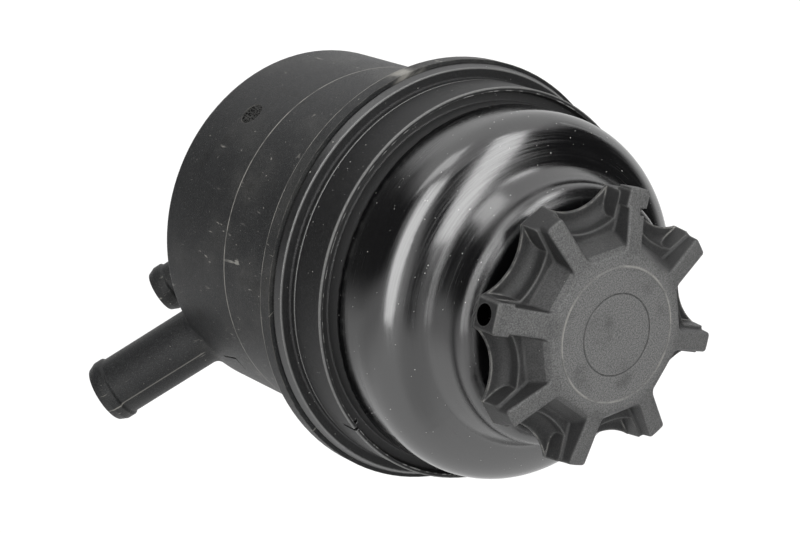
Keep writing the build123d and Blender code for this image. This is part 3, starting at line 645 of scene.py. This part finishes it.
def sparkErodedPolypropylene():
    # even dark grey sand texture, with painted shade in the pockets, on faces that look less up, round the
    # hub's face and in the vent's bore, paler on rubbed edges, with flash along the lip
    s = capSet
    material, tree, shader, coords = newMaterial("sparkErodedPolypropylene")
    z, radius = aboutAxis(tree, coords)[2:]
    grain = addNode(tree, "TexNoise", {"Vector": coords, **s["grain"]})
    sand = addNode(tree, "TexNoise", {"Vector": coords, **s["sand"]})
    cloud = addNode(tree, "TexNoise", {"Vector": coords, **s["cloud"]})

    pale = addNode(tree, "MapRange", (grain, *s["grainLevels"]), **eased)
    tones = hexColour(s["colour"]), hexColour(s["paleColour"])
    colour = addNode(tree, "Mix", (pale, *tones), data_type="RGBA")
    facing = addNode(tree, "NewGeometry").node.outputs["Normal"]
    facing = addNode(tree, "SeparateXYZ", (facing,)).node.outputs["Z"]
    # painted shade: darker on faces that look less up, deeper in the pockets and outside the hub's face
    sideShade = addNode(tree, "MapRange", (facing, *s["sideShadeLevels"]), **eased)
    pocketShade = addNode(tree, "MapRange", (z, *s["pocketShadeLevels"]), **eased)
    colour = lay(tree, colour, weigh(tree, "MAXIMUM", (pocketShade, 1), (sideShade, 1)), 1, s["darkAndShadeColour"])
    rimShade = addNode(tree, "MapRange", (radius, *s["rimShadeLevels"]), **eased)
    colour = lay(tree, colour, rimShade, 1, s["darkAndShadeColour"])
    stained = addNode(tree, "MapRange", (cloud, *s["cloudLevels"]), **eased)
    colour = lay(tree, colour, stained, 1, s["darkAndShadeColour"])

    rounded = addNode(tree, "Bevel", (s["edgeRadius"],), **sampled)
    rub = broken(tree, edgeMask(tree, rounded, s["rubLean"]), cloud, s["rubLevels"])
    colour = lay(tree, colour, rub, s["rubAmount"], s["rubColour"])
    faceRing = broken(tree, ringLine(tree, z, radius, s["faceRing"]), cloud, s["faceLevels"])
    colour = lay(tree, colour, faceRing, 1, s["edgeColour"])
    innerRing = ringLine(tree, z, radius, s["innerRing"])
    colour = lay(tree, colour, innerRing, s["innerAmount"], s["darkAndShadeColour"])
    flash = broken(tree, edgeMask(tree, rounded, s["flashLean"]), z, s["lipLevels"])
    flashGrain = addNode(tree, "TexNoise", {"Vector": coords, **s["flash"]})
    flash = broken(tree, flash, flashGrain, s["flashLevels"])
    colour = lay(tree, colour, flash, s["flashAmount"], s["edgeColour"])
    specks = dustSpecks(tree, coords, s["specks"])
    colour = lay(tree, colour, specks, s["speckAmount"], s["edgeColour"])

    # painted shade: the vent's bore painted near-black
    beside = addNode(tree, "VectorMath", (coords, s["ventSide"]), operation="DOT_PRODUCT")
    along = addNode(tree, "VectorMath", (coords, s["ventAlong"]), operation="DOT_PRODUCT")
    above = addNode(tree, "Math", (z, s["ventZ"]), operation="SUBTRACT")
    inner, outer = [s["ventRadius"] + gap for gap in s["ventEdge"]]
    ventShade = addNode(tree, "MapRange", (flatLength(tree, beside, above), inner, outer, 1, 0), **eased)
    lobe = addNode(tree, "Math", (along, s["ventReach"]), operation="GREATER_THAN")
    ventShade = addNode(tree, "Math", (ventShade, lobe), operation="MULTIPLY")
    colour = lay(tree, colour, ventShade, 1, s["ventShadeColour"])

    rough = addNode(tree, "MapRange", (sand, *s["sandLevels"], *s["roughness"]), **eased)
    specular = addNode(tree, "MapRange", (ventShade, 0, 1, s["specular"], 0), **eased)
    height = weigh(tree, "ADD", (grain, 1), (sand, s["sandHeight"]))
    bump = addNode(tree, "Bump", {
        "Strength": 1.0, "Distance": s["grainDepth"], "Height": height, "Normal": rounded})
    feed(tree, shader, {
        "Base Color": colour, "Roughness": rough, "Specular IOR Level": specular, "Normal": bump})
    return material


# hidden pieces, in finishes of two near tones and the grain that the making leaves
plainFinishes = [
    {"name": "blackAcetalMoulded", "colours": ("#161617", "#1F1F20"), "roughness": (0.35, 0.5),
     "metallic": 0.0, "scale": 1.8 / mm, "depth": 0.01 * mm, "nodes": ("cap_insert",)},
    {"name": "nitrileRubberMoulded", "colours": ("#0E0E0E", "#1A1A19"), "roughness": (0.6, 0.85),
     "metallic": 0.0, "scale": 1.2 / mm, "depth": 0.03 * mm,
     "nodes": ("cap_gasket", "vent_valve", "filter_seal")},
    {"name": "naturalNylonMoulded", "colours": ("#C4BCA6", "#D4CDBA"), "roughness": (0.3, 0.45),
     "metallic": 0.0, "scale": 0.9 / mm, "depth": 0.01 * mm, "nodes": ("dipstick",)},
    {"name": "tinnedSteelPressed", "colours": ("#A9A9A6", "#BEBEBA"), "roughness": (0.22, 0.42),
     "metallic": 1.0, "scale": 0.4 / mm, "depth": 0.006 * mm,
     "nodes": ("filter_lower_cap", "filter_core", "filter_upper_cap")},
    {"name": "resinPaperPleated", "colours": ("#B89F6E", "#D2BC8C"), "roughness": (0.75, 0.95),
     "metallic": 0.0, "scale": 2.6 / mm, "depth": 0.06 * mm, "nodes": ("filter_mesh",)},
    {"name": "springSteelOiled", "colours": ("#5E5C59", "#7C7974"), "roughness": (0.2, 0.38),
     "metallic": 1.0, "scale": 0.7 / mm, "depth": 0.005 * mm, "nodes": ("hold_down_spring",)},
]
plainSet = {
    "cloudGrains": 12,  # how many grains wide a cloud is
    "toneLevels": (0.35, 0.65),
    "roughLevels": (0.25, 0.75),
}


def plainFinish(settings):
    # two near tones clouded together, with the fine relief that its making leaves
    s = plainSet
    material, tree, shader, coords = newMaterial(settings["name"])
    scale = settings["scale"]
    grain = addNode(tree, "TexNoise", {"Vector": coords, "Scale": scale, "Detail": 4, "Roughness": 0.6})
    cloud = addNode(tree, "TexNoise", {"Vector": coords, "Scale": scale / s["cloudGrains"], "Detail": 3})
    tone = weigh(tree, "ADD", (grain, 0.5), (cloud, 0.5))
    tone = addNode(tree, "MapRange", (tone, *s["toneLevels"]), **eased)
    first, second = [hexColour(code) for code in settings["colours"]]
    colour = addNode(tree, "Mix", (tone, first, second), data_type="RGBA")
    rough = addNode(tree, "MapRange", (grain, *s["roughLevels"], *settings["roughness"]), **eased)
    bump = addNode(tree, "Bump", {"Strength": 1.0, "Distance": settings["depth"], "Height": grain})
    feed(tree, shader, {
        "Base Color": colour, "Roughness": rough, "Metallic": settings["metallic"], "Normal": bump})
    return material


makeCamera()
makeWorld()
for settings in softBoxes:
    makeSoftBox(settings)
makeFloor()
print("studio ready")

dress("lower_housing", glassFilledNylonMoulded())
dress("upper_shell", polishedAbsMoulded())
dress("cap_body", sparkErodedPolypropylene())
for settings in plainFinishes:
    finish = plainFinish(settings)
    for node in settings["nodes"]:
        dress(node, finish)
print("finishes applied")

bpy.context.scene.view_settings.view_transform = "Standard"
